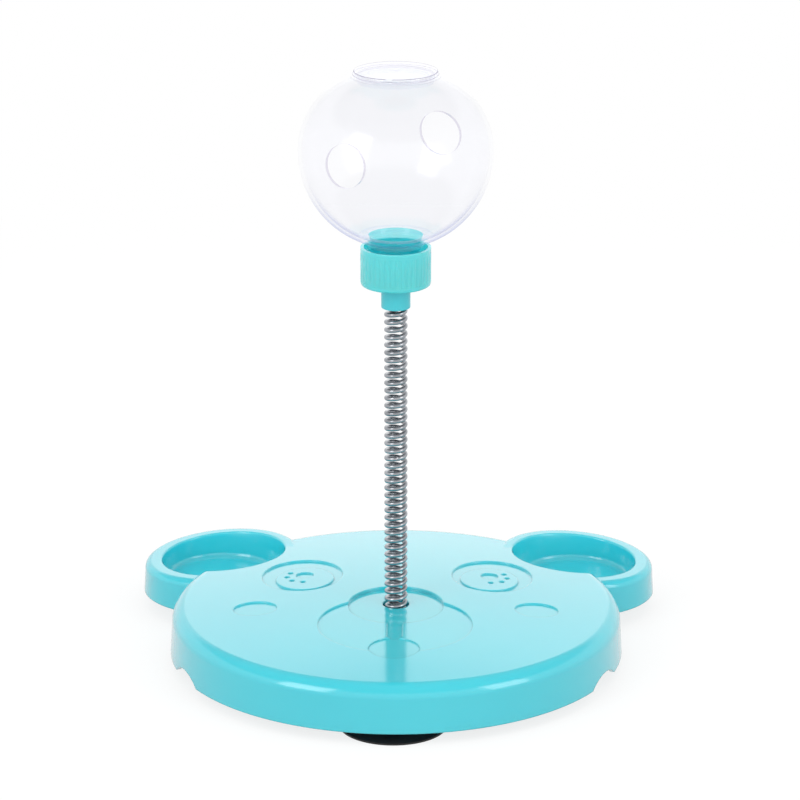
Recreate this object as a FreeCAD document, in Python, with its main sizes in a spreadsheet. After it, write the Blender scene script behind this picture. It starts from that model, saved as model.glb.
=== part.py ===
import FreeCAD, Part
import Sketcher
import math
import operator
import os

# Wobble treat dispenser. Millimetres, +Z up, floor at z = 0.
# The origin is on the floor under the middle of the round bear head, and -Y is the face's chin side.

SIZES = {
    # Bear head of the base
    "skirt_bottom": 6.0,
    "head_radius": 113.9,
    "head_draft": 3.5,
    "dome_top": 34.6,
    "dome_radius": 1200.0,
    "head_edge_round": 7.0,
    "side_wall": 2.5,
    "top_wall": 3.0,
    # Ears with their bowls
    "ear_outset": 5.5,
    "ear_angle": 39.5,
    "ear_radius": 41.4,
    "ear_skirt_rise": 3.1,
    "ear_draft": 3.8,
    "ear_rim_height": 27.75,
    "ear_slope": 4.7,
    "ear_edge_round": 3.5,
    "bowl_floor_radius": 30.0,
    "bowl_floor_height": 14.0,
    "bowl_draft": 9.5,
    "bowl_floor_round": 3.5,
    "bowl_wall": 2.2,
    "bowl_floor_wall": 2.4,
    "bowl_edge_round": 0.8,
    # Finger notches in the skirt
    "notch_width": 28.0,
    "notch_height": 5.0,
    "notch_angle": 24.0,
    # Face, all recesses parallel to the dome
    "muzzle_y": -38.9,
    "muzzle_half_width": 38.2,
    "muzzle_half_length": 34.8,
    "muzzle_depth": 0.9,
    "nose_y": -13.6,
    "nose_radius": 23.8,
    "nose_depth": 1.7,
    "philtrum_width": 7.8,
    "philtrum_end_y": -52.0,
    "mouth_y": -67.8,
    "mouth_radius": 12.5,
    "mouth_depth": 1.5,
    "eye_inset": 57.1,
    "eye_angle": 31.4,
    "eye_half_width": 20.5,
    "eye_half_length": 23.7,
    "eye_depth": 1.0,
    "pupil_inward": 1.5,
    "pupil_down": 5.3,
    "pupil_half_width": 14.8,
    "pupil_half_length": 16.8,
    "pad_inward": 1.3,
    "pad_down": 0.7,
    "pad_radius": 4.4,
    "pad_depth": 0.8,
    "toe_count": 4,
    "toe_ring_inward": 1.0,
    "toe_ring_down": 2.1,
    "toe_ring_radius": 8.7,
    "toe_first_angle": 35.0,
    "toe_angle_step": 41.0,
    "toe_radius": 1.3,
    "toe_depth": 1.2,
    "cheek_inset": 41.7,
    "cheek_angle": -13.1,
    "cheek_half_width": 10.8,
    "cheek_half_length": 9.0,
    "cheek_depth": 0.8,
    "face_edge_round": 0.4,
    "face_floor_round": 0.3,
    # Spring and the hole that it stands in
    "spring_y": -9.7,
    "wire_radius": 1.2,
    "coil_radius": 4.6,
    "spring_pitch": 3.9,
    "spring_half_turns": 89,
    "spring_hole_gap": 0.75,
    # Anchor under the base
    "boss_radius": 15.0,
    "boss_bottom": 21.0,
    "anchor_thickness": 3.0,
    "stud_gap": 0.2,
    "anchor_stud_height": 10.5,
    "ridge_crest": 1.0,
    "ridge_root": 1.6,
    "ridge_turns": 1.0,
    # Screws
    "screw_ring_radius": 11.0,
    "anchor_screw_count": 3,
    "anchor_screw_angle": 90.0,
    "screw_head_radius": 2.8,
    "screw_head_height": 2.0,
    "screw_shank_radius": 1.45,
    "screw_gap": 0.05,
    "screw_end_gap": 0.5,
    "screw_length": 8.0,
    "screw_tip_length": 1.2,
    "slot_width": 0.7,
    "slot_length": 3.2,
    "slot_depth": 1.1,
    # Ribs under the dome
    "rib_count": 6,
    "rib_first_angle": 30.0,
    "rib_thickness": 1.8,
    "rib_bottom": 22.5,
    # Suction feet
    "front_foot_inset": 27.0,
    "rear_foot_inset": 40.7,
    "rear_foot_angle": 35.0,
    "lip_radius": 26.4,
    "lip_thickness": 0.9,
    "cup_hollow_height": 4.2,
    "hub_radius": 7.0,
    "hub_bottom": 6.6,
    "foot_height": 9.0,
    "stem_radius": 5.0,
    "stem_length": 8.0,
    "stem_gap": 0.1,
    "stem_end_gap": 0.5,
    "stem_barb": 0.9,
    "foot_boss_wall": 2.4,
    # Socket on the spring's top end
    "socket_depth": 9.75,
    "spring_end_gap": 0.3,
    "spring_side_gap": 0.3,
    "collar_radius": 7.15,
    "collar_height": 14.0,
    "collar_round": 0.6,
    "web_thickness": 2.0,
    "web_hole_radius": 1.7,
    "socket_flange_radius": 12.5,
    "socket_flange_thickness": 2.5,
    "screw_well_radius": 5.5,
    "plug_length": 8.5,
    # Screw cap
    "cap_radius": 17.25,
    "cap_height": 19.2,
    "cap_wall": 1.6,
    "cap_floor": 2.2,
    "cap_turn_gap": 0.25,
    "cap_seat_gap": 0.2,
    "cap_edge_round": 1.6,
    "flute_count": 40,
    "flute_radius": 1.3,
    "flute_depth": 0.2,
    "flute_margin": 2.6,
    # Thread between the cap and the ball's neck
    "thread_pitch": 4.0,
    "thread_root": 2.2,
    "thread_crest": 1.2,
    "thread_depth": 1.4,
    "thread_gap": 0.35,
    "thread_turns": 1.5,
    "neck_thread_start": 2.8,
    # Treat ball
    "ball_radius": 47.3,
    "ball_wall": 1.9,
    "ball_flattening": 5.5,
    "crown_rise": 3.2,
    "ball_flat_radius": 17.1,
    "ball_floor": 2.5,
    "neck_gap": 0.3,
    "neck_length": 17.7,
    "neck_wall": 1.6,
    "neck_flare": 1.0,
    "leak_radius": 10.65,
    "leak_left_turn": 30.8,
    "leak_left_rise": 2.7,
    "leak_right_turn": 32.3,
    "leak_right_rise": 23.2,
    # Filling mouth and its lid
    "mouth_rim_radius": 21.9,
    "mouth_rim_height": 0.9,
    "mouth_rim_width": 3.0,
    "lid_seat_gap": 0.1,
    "lid_top_radius": 20.3,
    "lid_edge_radius": 20.8,
    "lid_thickness": 1.7,
    "lid_plug_gap": 0.2,
    "lid_plug_wall": 1.4,
    "lid_plug_depth": 3.6,
    "pry_notch_radius": 1.5,
    "pry_notch_angle": 8.0,
    "gate_dot_radius": 1.2,
    "gate_dot_height": 0.3,
    "lid_edge_round": 0.5,
    # How far a cutter reaches past what it cuts, and a ridge into what it stands on
    "overcut": 1.0,
    "ridge_sink": 0.1,
}

SHEET = "sizes"
SIGNS = {"+": operator.add, "-": operator.sub, "*": operator.mul, "/": operator.truediv}
TINY = 0.02
EDGE_SAMPLES = 5


# Sizes that carry both their number and their sheet formula

class Size:
    def __init__(self, value, text):
        self.value = float(value)
        self.text = text

    def __add__(self, other):
        return joined(self, "+", other)

    def __radd__(self, other):
        return joined(other, "+", self)

    def __sub__(self, other):
        return joined(self, "-", other)

    def __rsub__(self, other):
        return joined(other, "-", self)

    def __mul__(self, other):
        return joined(self, "*", other)

    def __rmul__(self, other):
        return joined(other, "*", self)

    def __truediv__(self, other):
        return joined(self, "/", other)

    def __neg__(self):
        return joined(0, "-", self)


def as_size(number):
    return number if isinstance(number, Size) else Size(number, repr(float(number)))


def joined(first, sign, second):
    first = as_size(first)
    second = as_size(second)
    return Size(SIGNS[sign](first.value, second.value), f"({first.text} {sign} {second.text})")


def root(size):
    return Size(math.sqrt(size.value), f"sqrt({size.text})")


def tangent(angle):
    return Size(math.tan(math.radians(angle.value)), f"tan({angle.text})")


def cosine(angle):
    return Size(math.cos(math.radians(angle.value)), f"cos({angle.text})")


def sine(angle):
    return Size(math.sin(math.radians(angle.value)), f"sin({angle.text})")


def leg(long_side, short_side):
    return root(long_side * long_side - short_side * short_side)


def fill_sheet(doc):
    sheet = doc.addObject("Spreadsheet::Sheet", SHEET)
    for row, (name, value) in enumerate(SIZES.items(), start=1):
        sheet.set(f"A{row}", name)
        sheet.set(f"B{row}", str(value))
        sheet.setAlias(f"B{row}", name)
    doc.recompute()


def size(name):
    return Size(SIZES[name], f"{SHEET}.{name}")


def bind(thing, prop, value):
    thing.setExpression(prop, as_size(value).text)


def place(thing, x=0, y=0, z=0):
    for axis, value in (("x", x), ("y", y), ("z", z)):
        bind(thing, f"Placement.Base.{axis}", value)


# Primitives and booleans

def cylinder(doc, name, radius, height, **spot):
    thing = doc.addObject("Part::Cylinder", name)
    bind(thing, "Radius", radius)
    bind(thing, "Height", height)
    place(thing, **spot)
    return thing


def cone(doc, name, low_radius, high_radius, height, **spot):
    thing = doc.addObject("Part::Cone", name)
    bind(thing, "Radius1", low_radius)
    bind(thing, "Radius2", high_radius)
    bind(thing, "Height", height)
    place(thing, **spot)
    return thing


def box(doc, name, length, width, height, **spot):
    thing = doc.addObject("Part::Box", name)
    bind(thing, "Length", length)
    bind(thing, "Width", width)
    bind(thing, "Height", height)
    place(thing, **spot)
    return thing


def ball_of(doc, name, radius, z):
    thing = doc.addObject("Part::Sphere", name)
    bind(thing, "Radius", radius)
    place(thing, z=z)
    return thing


def oval_prism(doc, name, half_width, half_length, height, x, y, z):
    oval = doc.addObject("Part::Ellipse", f"{name}_outline")
    lengthwise = half_length.value > half_width.value
    bind(oval, "MajorRadius", half_length if lengthwise else half_width)
    bind(oval, "MinorRadius", half_width if lengthwise else half_length)
    turned = FreeCAD.Rotation(FreeCAD.Vector(0, 0, 1), 90 if lengthwise else 0)
    oval.Placement = FreeCAD.Placement(FreeCAD.Vector(), turned)
    place(oval, x, y, z)
    prism = doc.addObject("Part::Extrusion", name)
    prism.Base = oval
    prism.DirMode = "Custom"
    prism.Dir = FreeCAD.Vector(0, 0, 1)
    prism.Solid = True
    bind(prism, "LengthFwd", height)
    return prism


def cut(doc, name, base, tool):
    thing = doc.addObject("Part::Cut", name)
    thing.Base = base
    thing.Tool = tool
    thing.Refine = False
    return thing


def common(doc, name, base, tool):
    thing = doc.addObject("Part::Common", name)
    thing.Base = base
    thing.Tool = tool
    thing.Refine = False
    return thing


def fuse(doc, name, pieces):
    thing = doc.addObject("Part::MultiFuse", name)
    thing.Shapes = pieces
    thing.Refine = False
    return thing


def tilt(thing, axis, angle):
    spot = thing.Placement.Base
    thing.Placement = FreeCAD.Placement(spot, FreeCAD.Rotation(FreeCAD.Vector(*axis), angle.value))
    bind(thing, "Placement.Rotation.Angle", angle)


def aim(thing, direction):
    """Points the thing's own Z axis along a direction, about its own base point."""
    spot = thing.Placement.Base
    turned = FreeCAD.Rotation(FreeCAD.Vector(0, 0, 1), FreeCAD.Vector(*direction))
    thing.Placement = FreeCAD.Placement(spot, turned)


def mirrored(doc, name, source):
    thing = doc.addObject("Part::Mirroring", name)
    thing.Source = source
    thing.Normal = FreeCAD.Vector(1, 0, 0)
    return thing


def rounded(doc, name, base, radius, wanted):
    doc.recompute()
    thing = doc.addObject("Part::Fillet", name)
    thing.Base = base
    numbers = [i for i, edge in enumerate(base.Shape.Edges, start=1)
               if not edge.Degenerated and wanted(edge)]
    thing.Edges = [(number, radius.value, radius.value) for number in numbers]
    return thing


# PartDesign bodies

def body_plane(body, role):
    return next(f for f in body.Origin.OriginFeatures if f.Role == role)


def new_body(doc, name):
    body = doc.addObject("PartDesign::Body", name)
    body.Label = name
    return body


def new_sketch(body, name, role):
    sketch = body.newObject("Sketcher::SketchObject", name)
    sketch.AttachmentSupport = [(body_plane(body, role), "")]
    sketch.MapMode = "FlatFace"
    return sketch


def fix_length(sketch, kind, index, point, value, label):
    number = sketch.addConstraint(Sketcher.Constraint(kind, -1, 1, index, point, value.value))
    sketch.renameConstraint(number, label)
    bind(sketch, f"Constraints.{label}", value)


def fix_point(sketch, index, point, x, z, label):
    """Ties a sketch point to its two sizes, or to an axis where a size is zero."""
    for kind, value, axis in (("DistanceX", as_size(x), -2), ("DistanceY", as_size(z), -1)):
        if value.value == 0.0:
            sketch.addConstraint(Sketcher.Constraint("PointOnObject", index, point, axis))
        else:
            fix_length(sketch, kind, index, point, value, f"{label}{kind[-1]}")


def arc_between(start, end, centre):
    """The shorter arc from start to end, with the sketch numbers of its start and its end."""
    radius = math.dist(start, centre)
    first = math.atan2(start[1] - centre[1], start[0] - centre[0])
    last = math.atan2(end[1] - centre[1], end[0] - centre[0])
    sweep = (last - first) % (2 * math.pi)
    circle = Part.Circle(FreeCAD.Vector(*centre, 0), FreeCAD.Vector(0, 0, 1), radius)
    if sweep < math.pi:
        return Part.ArcOfCircle(circle, first, first + sweep), 1, 2
    return Part.ArcOfCircle(circle, last, last + 2 * math.pi - sweep), 2, 1


def outline_sketch(body, name, outline, role="XZ_Plane"):
    """A closed sketch of corners (x, z). A third entry is the arc after the corner: (x, z, radius)."""
    sketch = new_sketch(body, name, role)
    corners = [tuple(as_size(n) for n in entry[:2]) for entry in outline]
    ends = []
    for number, entry in enumerate(outline):
        start = tuple(n.value for n in corners[number])
        finish = tuple(n.value for n in corners[(number + 1) % len(corners)])
        if len(entry) == 3:
            centre = tuple(as_size(n).value for n in entry[2][:2])
            curve, first, last = arc_between(start, finish, centre)
        else:
            curve = Part.LineSegment(FreeCAD.Vector(*start, 0), FreeCAD.Vector(*finish, 0))
            first, last = 1, 2
        sketch.addGeometry(curve, False)
        ends.append((first, last))
    for number in range(len(outline)):
        after = (number + 1) % len(outline)
        sketch.addConstraint(
            Sketcher.Constraint("Coincident", number, ends[number][1], after, ends[after][0]))
        fix_point(sketch, number, ends[number][0], *corners[number], f"corner{number}")
        if len(outline[number]) == 3:
            fix_radius(sketch, number, outline[number][2][2])
    return sketch


def fix_radius(sketch, number, radius):
    index = sketch.addConstraint(Sketcher.Constraint("Radius", number, radius.value))
    sketch.renameConstraint(index, f"radius{number}")
    bind(sketch, f"Constraints.radius{number}", radius)


def revolved(body, name, outline):
    sketch = outline_sketch(body, f"{name}_outline", outline)
    feature = body.newObject("PartDesign::Revolution", name)
    feature.Profile = sketch
    feature.ReferenceAxis = (sketch, ["V_Axis"])
    feature.Angle = 360
    body.Tip = feature
    return feature


def ridge(body, name, side, core, crest_radius, start, widths, pitch, turns):
    """A helical ridge on a core radius. Side is +1 outward or -1 inward, and start its middle height."""
    sunk = core - side * size("ridge_sink")
    root, crest = widths
    corners = [
        (sunk, start - root / 2),
        (crest_radius, start - crest / 2),
        (crest_radius, start + crest / 2),
        (sunk, start + root / 2),
    ]
    sketch = outline_sketch(body, f"{name}_outline", corners)
    feature = body.newObject("PartDesign::AdditiveHelix", name)
    feature.Profile = sketch
    feature.ReferenceAxis = (sketch, ["V_Axis"])
    feature.Mode = "pitch-turns-angle"
    feature.LeftHanded = False
    feature.Angle = 0
    bind(feature, "Pitch", pitch)
    bind(feature, "Turns", turns)
    body.Tip = feature
    return feature


def pocket(body, name, sketch, depth):
    """Cuts down from the sketch, or right through both ways where depth is None."""
    feature = body.newObject("PartDesign::Pocket", name)
    feature.Profile = sketch
    if depth is None:
        feature.Type = "ThroughAll"
        feature.Midplane = True
    else:
        bind(feature, "Length", depth)
    body.Tip = feature
    return feature


def round_sketch(body, name, x, y, radius, height):
    sketch = new_sketch(body, name, "XY_Plane")
    bind(sketch, "AttachmentOffset.Base.z", height)
    centre = FreeCAD.Vector(as_size(x).value, as_size(y).value, 0)
    sketch.addGeometry(Part.Circle(centre, FreeCAD.Vector(0, 0, 1), radius.value), False)
    fix_point(sketch, 0, 3, x, y, "centre")
    fix_radius(sketch, 0, radius)
    return sketch


def polar(body, name, feature, sketch, count):
    pattern = body.newObject("PartDesign::PolarPattern", name)
    pattern.Originals = [feature]
    pattern.Axis = (sketch, ["N_Axis"])
    pattern.Angle = 360
    bind(pattern, "Occurrences", count)
    body.Tip = pattern
    return pattern


def fillet(doc, body, name, base, radius, wanted):
    doc.recompute()
    edges = [f"Edge{i}" for i, edge in enumerate(base.Shape.Edges, start=1) if wanted(edge)]
    feature = body.newObject("PartDesign::Fillet", name)
    feature.Base = (base, edges)
    bind(feature, "Radius", radius)
    body.Tip = feature
    return feature


def ring_at(height, radius=None):
    """Picks closed edges that lie level at a height, of one radius if it is given."""
    def wanted(edge):
        box = edge.BoundBox
        level = edge.isClosed() and box.ZLength < TINY and abs(box.ZMin - height.value) < TINY
        return level and (radius is None or abs(box.XMax - radius.value) < TINY)
    return wanted


# Heights that several pieces share

def spring_bottom():
    return size("boss_bottom")


def coil_start():
    return spring_bottom() + size("wire_radius")


def spring_top():
    return coil_start() + size("spring_pitch") * size("spring_half_turns") / 2 + size("wire_radius")


def web_bottom():
    return spring_top() + size("spring_end_gap")


def web_top():
    return web_bottom() + size("web_thickness")


def collar_bottom():
    return web_bottom() - size("socket_depth")


def flange_bottom():
    return collar_bottom() + size("collar_height")


def flange_top():
    return flange_bottom() + size("socket_flange_thickness")


def cap_floor_top():
    return flange_bottom() - size("cap_seat_gap")


def cap_bottom():
    return cap_floor_top() - size("cap_floor")


def neck_end():
    return flange_top() + size("neck_gap")


def ball_flat():
    return neck_end() + size("neck_length")


def ball_middle():
    return ball_flat() + leg(size("ball_radius"), size("ball_flat_radius"))


def stud_radius():
    return size("coil_radius") - size("wire_radius") - size("stud_gap")


def coil_outside():
    return size("coil_radius") + size("wire_radius")


def cap_bore():
    return size("cap_radius") - size("cap_wall")


def neck_outside():
    return cap_bore() - size("thread_gap") - size("thread_depth")


def neck_thread_middle():
    return neck_end() + size("neck_thread_start")


def pilot_radius():
    return size("screw_shank_radius") + size("screw_gap")


# Base shell

def ear_x():
    return (size("head_radius") + size("ear_outset")) * cosine(size("ear_angle"))


def ear_y():
    return (size("head_radius") + size("ear_outset")) * sine(size("ear_angle"))


def ear_skirt():
    return size("skirt_bottom") + size("ear_skirt_rise")


def spring_hole_radius():
    return coil_outside() + size("spring_hole_gap")


def drafted(doc, name, radius, skirt, draft, low, high, x=0, y=0):
    """A block that is the given radius at its skirt's lower edge and narrows upward by its draft."""
    slope = tangent(draft)
    low_radius = radius + (skirt - low) * slope
    high_radius = radius - (high - skirt) * slope
    return cone(doc, name, low_radius, high_radius, high - low, x=x, y=y, z=low)


def dome(doc, name, depth):
    centre = size("dome_top") - size("dome_radius")
    return ball_of(doc, name, size("dome_radius") - depth, centre)


def top_edge(edge):
    return edge.isClosed() and edge.BoundBox.ZMin > ear_skirt().value + TINY


def head_block(doc, name, inset, drop, depth, edge_round):
    radius = size("head_radius") - inset
    skirt = size("skirt_bottom")
    wall = drafted(doc, f"{name}_wall", radius, skirt, size("head_draft"), skirt - drop, size("dome_top"))
    block = common(doc, f"{name}_block", wall, dome(doc, f"{name}_dome", depth))
    return rounded(doc, name, block, edge_round, top_edge)


def ear_block(doc, name, inset, drop, depth):
    radius = size("ear_radius") - inset
    high = size("ear_rim_height") + size("ear_radius") * tangent(size("ear_slope")) + size("overcut")
    spot = {"x": ear_x(), "y": ear_y()}
    skirt = ear_skirt()
    wall = drafted(doc, f"{name}_wall", radius, skirt, size("ear_draft"), skirt - drop, high, **spot)
    above = cylinder(doc, f"{name}_above", size("ear_radius") * 2, size("ear_radius"),
                     z=size("ear_rim_height") - depth, **spot)
    tilt(above, (0, 1, 0), size("ear_slope"))
    return cut(doc, name, wall, above)


def outer_block(doc):
    none = as_size(0)
    head = head_block(doc, "head", none, none, none, size("head_edge_round"))
    ear = ear_block(doc, "ear_block", none, none, none)
    ear = rounded(doc, "ear_right", ear, size("ear_edge_round"), top_edge)
    return fuse(doc, "outer_block", [head, ear, mirrored(doc, "ear_left", ear)])


def inner_block(doc):
    drop = size("overcut")
    wall = size("side_wall")
    depth = size("top_wall")
    head = head_block(doc, "head_inside", wall, drop, depth, size("head_edge_round") - depth)
    ear = ear_block(doc, "ear_inside_right", wall, size("ear_skirt_rise") + drop, depth)
    return fuse(doc, "inner_block", [head, ear, mirrored(doc, "ear_inside_left", ear)])


def bowl_cone(doc, name, wall, low):
    slope = tangent(size("bowl_draft"))
    high = size("dome_top") + size("overcut")
    low_radius = size("bowl_floor_radius") + wall + (low - size("bowl_floor_height")) * slope
    high_radius = low_radius + (high - low) * slope
    return cone(doc, name, low_radius, high_radius, high - low, x=ear_x(), y=ear_y(), z=low)


def foot_spots():
    x, y = on_head(size("rear_foot_inset"), size("rear_foot_angle"))
    return {
        "front": (0, size("front_foot_inset") - size("head_radius")),
        "rear_right": (x, y),
        "rear_left": (-x, y),
    }


def screw_spots():
    count = int(SIZES["anchor_screw_count"])
    for number in range(count):
        angle = size("anchor_screw_angle") + number * as_size(360) / size("anchor_screw_count")
        reach = size("screw_ring_radius")
        yield number, reach * cosine(angle), size("spring_y") + reach * sine(angle)


def rib(doc, number):
    angle = size("rib_first_angle") + number * as_size(360) / size("rib_count")
    half = size("rib_thickness") / 2
    corner = {"x": half * sine(angle), "y": size("spring_y") - half * cosine(angle)}
    height = size("dome_top") - size("rib_bottom")
    thing = box(doc, f"rib{number}", size("head_radius") * 2, size("rib_thickness"), height,
                z=size("rib_bottom"), **corner)
    tilt(thing, (0, 0, 1), angle)
    return thing


def on_bowl_rim(edge):
    """True on the upper edge of a bowl, where its sloped wall meets the ear's rim."""
    slope = math.tan(math.radians(SIZES["bowl_draft"]))
    low = SIZES["ear_rim_height"] - 2 * SIZES["ear_edge_round"]
    for point in edge.discretize(EDGE_SAMPLES):
        reach = math.hypot(abs(point.x) - ear_x().value, point.y - ear_y().value)
        wall = SIZES["bowl_floor_radius"] + (point.z - SIZES["bowl_floor_height"]) * slope
        if point.z < low or abs(reach - wall) > TINY:
            return False
    return True


def dome_depth(point):
    centre = SIZES["dome_top"] - SIZES["dome_radius"]
    return SIZES["dome_radius"] - math.hypot(point.x, point.y, point.z - centre)


def on_face(point):
    """True over the face, short of the head's rounded edge and of the ears."""
    limit = SIZES["head_radius"] - 1.5 * SIZES["head_edge_round"]
    from_ear = math.hypot(abs(point.x) - ear_x().value, point.y - ear_y().value)
    narrowed = (point.z - ear_skirt().value) * math.tan(math.radians(SIZES["ear_draft"]))
    ear_wall = SIZES["ear_radius"] - narrowed
    return math.hypot(point.x, point.y) < limit and from_ear > ear_wall + TINY


def face_edge_at(*depths):
    """Picks edges of the face that run at one of these depths below the dome."""
    def wanted(edge):
        points = edge.discretize(EDGE_SAMPLES)
        level = any(all(abs(dome_depth(point) - depth.value) < TINY for point in points)
                    for depth in depths)
        return level and all(on_face(point) for point in points)
    return wanted


def on_spring_hole(edge):
    """True on the upper edge of the hole that the spring stands in."""
    points = edge.discretize(EDGE_SAMPLES)
    radius = spring_hole_radius().value
    return all(abs(math.hypot(point.x, point.y - SIZES["spring_y"]) - radius) < TINY
               and abs(dome_depth(point) - SIZES["nose_depth"]) < TINY for point in points)


def inside_structure(doc):
    """Cups, bosses and ribs that stand inside the shell. The inner block trims their tops."""
    high = size("dome_top")
    cup_low = size("bowl_floor_height") - size("bowl_floor_wall")
    cup = bowl_cone(doc, "cup_right", size("bowl_wall"), cup_low)
    boss = cylinder(doc, "spring_boss", size("boss_radius"), high - size("boss_bottom"),
                    y=size("spring_y"), z=size("boss_bottom"))
    pieces = [cup, mirrored(doc, "cup_left", cup), boss]
    foot_boss = size("stem_radius") + size("stem_gap") + size("foot_boss_wall")
    for name, (x, y) in foot_spots().items():
        pieces.append(cylinder(doc, f"foot_boss_{name}", foot_boss, high - size("foot_height"),
                               x=x, y=y, z=size("foot_height")))
    pieces += [rib(doc, number) for number in range(int(SIZES["rib_count"]))]
    return fuse(doc, "inside_structure", pieces)


def bowl_cutters(doc):
    bowl = bowl_cone(doc, "bowl_cone", as_size(0), size("bowl_floor_height"))
    floor = ring_at(size("bowl_floor_height"))
    bowl = rounded(doc, "bowl_right", bowl, size("bowl_floor_round"), floor)
    return [bowl, mirrored(doc, "bowl_left", bowl)]


def hole_cutters(doc):
    extra = size("overcut")
    low = size("boss_bottom") - extra
    high = size("dome_top") + extra
    holes = [cylinder(doc, "spring_hole", spring_hole_radius(), high - low, y=size("spring_y"), z=low)]
    depth = size("screw_length") - size("anchor_thickness") + size("screw_end_gap") + extra
    for number, x, y in screw_spots():
        holes.append(cylinder(doc, f"pilot_hole{number}", pilot_radius(), depth, x=x, y=y, z=low))
    low = size("foot_height") - extra
    depth = size("stem_length") + size("stem_end_gap") + extra
    for name, (x, y) in foot_spots().items():
        holes.append(cylinder(doc, f"stem_hole_{name}", size("stem_radius") + size("stem_gap"), depth,
                              x=x, y=y, z=low))
    return holes


def notch_cutters(doc):
    width = size("notch_width")
    height = size("notch_height")
    arch = (width * width / 4 + height * height) / (2 * height)
    angle = size("notch_angle")
    inside = size("head_radius") - 3 * size("side_wall")
    notch = cylinder(doc, "notch_right", arch, 5 * size("side_wall"),
                     x=inside * cosine(angle), y=-inside * sine(angle),
                     z=size("skirt_bottom") + height - arch)
    aim(notch, (cosine(angle).value, -sine(angle).value, 0))
    return [notch, mirrored(doc, "notch_left", notch)]


def recess(doc, name, prism, depth):
    return cut(doc, name, prism, dome(doc, f"{name}_floor", depth))


def face_low():
    return size("dome_top") - size("head_edge_round")


def face_height():
    return size("head_edge_round") + size("overcut")


def face_disc(doc, name, radius, x, y):
    return cylinder(doc, name, radius, face_height(), x=x, y=y, z=face_low())


def face_oval(doc, name, half_width, half_length, x, y):
    return oval_prism(doc, name, half_width, half_length, face_height(), x, y, face_low())


def muzzle_cutters(doc):
    muzzle = face_oval(doc, "muzzle_oval", size("muzzle_half_width"), size("muzzle_half_length"),
                       0, size("muzzle_y"))
    nose = face_disc(doc, "nose_disc", size("nose_radius"), 0, size("nose_y"))
    mouth = face_disc(doc, "mouth_disc", size("mouth_radius"), 0, size("mouth_y"))
    slot_end = face_disc(doc, "philtrum_end", size("philtrum_width") / 2, 0, size("philtrum_end_y"))
    slot = box(doc, "philtrum_slot", size("philtrum_width"), size("nose_y") - size("philtrum_end_y"),
               face_height(), x=-size("philtrum_width") / 2, y=size("philtrum_end_y"), z=face_low())
    deep = fuse(doc, "nose_shape", [nose, slot, slot_end])
    return [
        recess(doc, "muzzle_recess", muzzle, size("muzzle_depth")),
        recess(doc, "nose_recess", deep, size("nose_depth")),
        recess(doc, "mouth_recess", mouth, size("mouth_depth")),
    ]


def on_head(inset, angle):
    """A spot on the head at an inset from its edge."""
    reach = size("head_radius") - inset
    return reach * cosine(angle), reach * sine(angle)


def in_eye(inward, down):
    """A spot in the right eye, offset from the eye's middle."""
    x, y = on_head(size("eye_inset"), size("eye_angle"))
    return x - inward, y - down


def toe_discs(doc):
    ring_x, ring_y = in_eye(size("toe_ring_inward"), size("toe_ring_down"))
    reach = size("toe_ring_radius")
    for number in range(int(SIZES["toe_count"])):
        angle = size("toe_first_angle") - number * size("toe_angle_step")
        yield face_disc(doc, f"toe{number}", size("toe_radius"),
                        ring_x + reach * cosine(angle), ring_y + reach * sine(angle))


def eye_cutters(doc):
    eye = face_oval(doc, "eye_oval", size("eye_half_width"), size("eye_half_length"),
                    *on_head(size("eye_inset"), size("eye_angle")))
    pupil = face_oval(doc, "pupil_oval", size("pupil_half_width"), size("pupil_half_length"),
                      *in_eye(size("pupil_inward"), size("pupil_down")))
    pad = face_disc(doc, "pad_disc", size("pad_radius"), *in_eye(size("pad_inward"), size("pad_down")))
    cheek = face_oval(doc, "cheek_oval", size("cheek_half_width"), size("cheek_half_length"),
                      *on_head(size("cheek_inset"), size("cheek_angle")))
    cutters = [
        recess(doc, "eye_recess", cut(doc, "eye_ring", eye, pupil), size("eye_depth")),
        recess(doc, "pad_recess", pad, size("pad_depth")),
        recess(doc, "cheek_recess", cheek, size("cheek_depth")),
    ]
    for number, toe in enumerate(toe_discs(doc)):
        cutters.append(recess(doc, f"toe_recess{number}", toe, size("toe_depth")))
    return cutters + [mirrored(doc, f"{cutter.Name}_left", cutter) for cutter in cutters]


def build_base_shell(doc):
    cavity = cut(doc, "cavity", inner_block(doc), inside_structure(doc))
    shell = cut(doc, "hollow_shell", outer_block(doc), cavity)
    cutters = bowl_cutters(doc) + hole_cutters(doc) + notch_cutters(doc)
    shell = cut(doc, "open_shell", shell, fuse(doc, "openings", cutters))
    face = muzzle_cutters(doc) + eye_cutters(doc)
    shell = cut(doc, "faced_shell", shell, fuse(doc, "face", face))
    floors = face_edge_at(size("eye_depth"), size("pad_depth"), size("cheek_depth"))
    shell = rounded(doc, "floors_rounded", shell, size("face_floor_round"), floors)
    shell = rounded(doc, "face_rounded", shell, size("face_edge_round"), face_edge_at(as_size(0)))
    shell = rounded(doc, "hole_rounded", shell, size("face_edge_round"), on_spring_hole)
    return rounded(doc, "base_shell", shell, size("bowl_edge_round"), on_bowl_rim)


# Suction feet

def build_suction_foot(doc, name, x, y):
    body = new_body(doc, name)
    lip = size("lip_radius")
    thin = size("lip_thickness")
    hollow = size("cup_hollow_height")
    edge = lip - thin
    hollow_radius = (edge * edge + hollow * hollow) / (2 * hollow)
    stem = size("stem_radius")
    barb = size("stem_barb")
    top = size("foot_height") + size("stem_length")
    revolved(body, f"{name}_turning", [
        (0, hollow, (0, hollow - hollow_radius, hollow_radius)),
        (edge, 0),
        (lip, 0),
        (lip, thin),
        (size("hub_radius"), size("hub_bottom")),
        (size("hub_radius"), size("foot_height")),
        (stem, size("foot_height")),
        (stem, top - barb),
        (stem - barb, top),
        (0, top),
    ])
    place(body, x=x, y=y)
    return body


# Screws

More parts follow.
